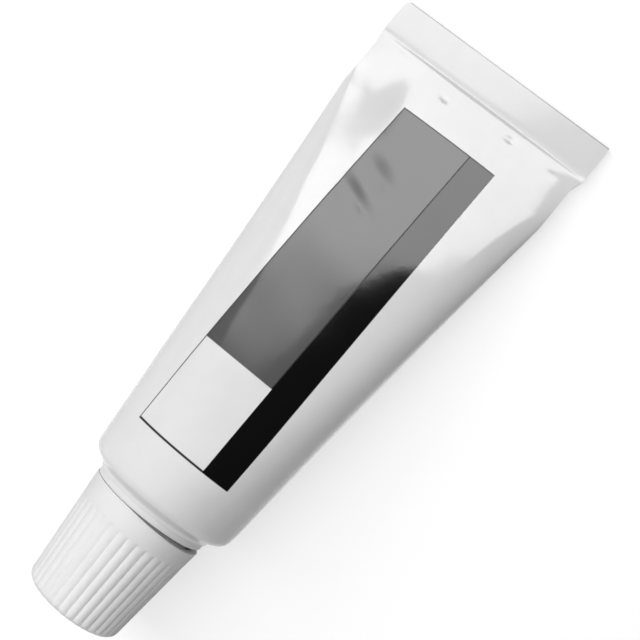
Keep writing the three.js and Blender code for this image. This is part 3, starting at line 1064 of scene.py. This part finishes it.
def cap_skin():
    """(x, radius, rib share) of the outer rings, from the end to the base."""
    rings = []
    for angle in np.linspace(math.pi / 2, 0, END_RINGS):
        depth = CAP_LENGTH - CAP_END_ROUND * (1 - math.sin(angle))
        radius = CAP_BASE_RADIUS - depth * taper - CAP_END_ROUND * (1 - math.cos(angle))
        rings.append((-depth, radius, 1 - (1 - RIB_SHARE_AT_END) * angle / (math.pi / 2)))
    reeds_from, reeds_to = CAP_LENGTH - CAP_END_ROUND - RING_GAP, COLLAR_LENGTH + RIB_FADE + RING_GAP
    for depth in np.linspace(reeds_from, reeds_to, REED_RINGS):
        rings.append((-depth, CAP_BASE_RADIUS - depth * taper, 1))
    for angle in np.linspace(math.pi / 2, 0, FADE_RINGS):
        depth = COLLAR_LENGTH + RIB_FADE * (1 - math.cos(angle))
        rings.append((-depth, CAP_BASE_RADIUS - depth * taper, math.sin(angle)))
    for depth in np.linspace(COLLAR_LENGTH - RING_GAP, CAP_BASE_ROUND * 2, COLLAR_RINGS):
        rings.append((-depth, CAP_BASE_RADIUS - depth * taper, 0))
    for angle in np.linspace(BASE_ROUND_FROM, math.pi / 2, BASE_RINGS):
        depth = CAP_BASE_ROUND * (1 - math.sin(angle))
        rings.append((-depth, CAP_BASE_RADIUS - CAP_BASE_ROUND * (1 - math.cos(angle)), 0))
    return rings


print("outer skin of the cap:", len(cap_skin()), "rings")

# %% Inside and outer end of the cap
CAP_BORE_RADIUS = 5.0
CAP_ENTRY_CHAMFER = 0.45
CORE_OUT_RADIUS = 5.95
CORE_OUT_WIDTH = 0.55
CORE_OUT_DEPTH = 3.2
ROOF_THICKNESS = 1.1
RECESS_RADIUS = 4.8
RECESS_DRAFT = 0.3
RECESS_RIM = 0.15
SPIKE_RADIUS = 1.25
SPIKE_LENGTH = 3.7
SPIKE_TIP_LENGTH = 0.15
SPIKE_TIP_RADIUS = 0.12


def cap_inside():
    """Corners as x, radius and rounding, from the base through the bore to the middle of the roof."""
    return [
        (0, CORE_OUT_RADIUS + CORE_OUT_WIDTH, 0),
        (-CORE_OUT_DEPTH, CORE_OUT_RADIUS + CORE_OUT_WIDTH / 3, 0.05),
        (-CORE_OUT_DEPTH, CORE_OUT_RADIUS, 0.05),
        (0, CORE_OUT_RADIUS, 0.1),
        (0, CAP_BORE_RADIUS + CAP_ENTRY_CHAMFER, 0.1),
        (-CAP_ENTRY_CHAMFER, CAP_BORE_RADIUS, 0.2),
        (-roof_depth, CAP_BORE_RADIUS, 0.1),
        (-roof_depth, 0, 0),
    ]


def cap_recess():
    """Corners as x, radius and rounding, from the tip of the spike out to the rim of the cap's end."""
    floor = -roof_depth - ROOF_THICKNESS
    return [
        (floor - SPIKE_LENGTH, 0, 0),
        (floor - SPIKE_LENGTH + SPIKE_TIP_LENGTH, SPIKE_TIP_RADIUS, 0.05),
        (floor, SPIKE_RADIUS, 0.3),
        (floor, RECESS_RADIUS - RECESS_DRAFT, 0.4),
        (-CAP_LENGTH, RECESS_RADIUS, 0.1),
        (-CAP_LENGTH, RECESS_RADIUS + RECESS_RIM, 0),
    ]


print("cap bore of", len(cap_inside()), "corners, recess of", len(cap_recess()))

# %% Build the cap
RIB_COUNT = 36
RIB_DEPTH = 0.19
RIB_STEPS = 12
BASE_SKEW = 0.48
SKEW_FROM_Y = 1


def build_cap(plastic):
    recess = [(x, r, 0) for x, r in round_corners(cap_recess())]
    bore = [(x, r, 0) for x, r in round_corners(cap_inside())]
    rings = recess + cap_skin() + bore
    shares = [share for x, r, share in rings if r > ON_AXIS]
    steps = RIB_COUNT * RIB_STEPS
    across = (np.arange(steps) % RIB_STEPS) / RIB_STEPS * 2 - 1

    def reeded(index, radius):
        return radius - RIB_DEPTH * shares[index] * across ** 2

    points, faces = revolve([(x, r) for x, r, share in rings], steps, reeded)
    points = np.array(points)
    near_base = np.clip(1 + points[:, 0] / COLLAR_LENGTH, 0, 1)
    to_right = np.clip((SKEW_FROM_Y - points[:, 1]) / CAP_BASE_RADIUS, 0, 1)
    points[:, 0] += CAP_BASE_X - near_base * BASE_SKEW * to_right
    add_piece("cap", points, faces, plastic, "cap", "screw_cap", sharp_angle=50)


cap_plastic = moulded_plastic("cap_plastic", level=0.95, roughness=0.45, glow=0.5, depth=0.001)
build_cap(cap_plastic)

# %% Thread in the cap
CAP_CREST = 4.53
CAP_TURNS = 1.0

points, faces = thread_ridge(THREAD_START + 0.5 * THREAD_PITCH, CAP_TURNS, CAP_BORE_RADIUS, CAP_CREST)
add_piece("cap_thread", points, faces, cap_plastic, "cap")

# %% [markdown]
# ## The sealing disc
#
# A soft foam disc lies in the roof of the cap and closes the mouth again once the foil is pierced. The
# mouth's rim has pressed a shallow ring into it. It is a revolve like the head, with the ring drawn into its
# profile, because a plain cylinder would lack it.

# %% Finish of the liner
def liner_foam():
    material, add = new_material("liner_foam")
    spot = add("ShaderNodeTexCoord").outputs["Object"]
    cells = add("ShaderNodeTexVoronoi", {"Vector": spot, "Scale": 4200.0}).outputs["Distance"]
    tone = ranged(add, cells, start=0.84, end=0.72)
    skin = bumps(add, cells, strength=0.35)
    set_surface(add, {"Base Color": even_grey(add, tone), "Normal": skin, "Roughness": 0.85, "IOR": 1.45})
    return material


liner_finish = liner_foam()
print("finish", liner_finish.name)

# %% Liner
LINER_RADIUS = 4.85
LINER_STEPS = 120
PRESS_DEPTH = 0.06
PRESS_RADIUS = 3.2
PRESS_WIDTH = 0.5
FACE_RADIUS = 4.5
FACE_RINGS = 24
liner_x = foil_x - LINER_THICKNESS - SEAT_GAP


def liner_profile():
    """Corners as x, radius and rounding, from the middle of the back to the middle of the pressed face."""
    face = liner_x + LINER_THICKNESS
    pressed = []
    for radius in np.linspace(FACE_RADIUS, 0, FACE_RINGS):
        press = PRESS_DEPTH * math.exp(-((radius - PRESS_RADIUS) / PRESS_WIDTH) ** 2)
        pressed.append((face - press, radius, 0))
    return [(liner_x, 0, 0), (liner_x, LINER_RADIUS, 0.12), (face, LINER_RADIUS, 0.2), *pressed]


points, faces = revolve(round_corners(liner_profile()), LINER_STEPS)
add_piece("liner", points, faces, liner_finish, "liner", "cap_liner")
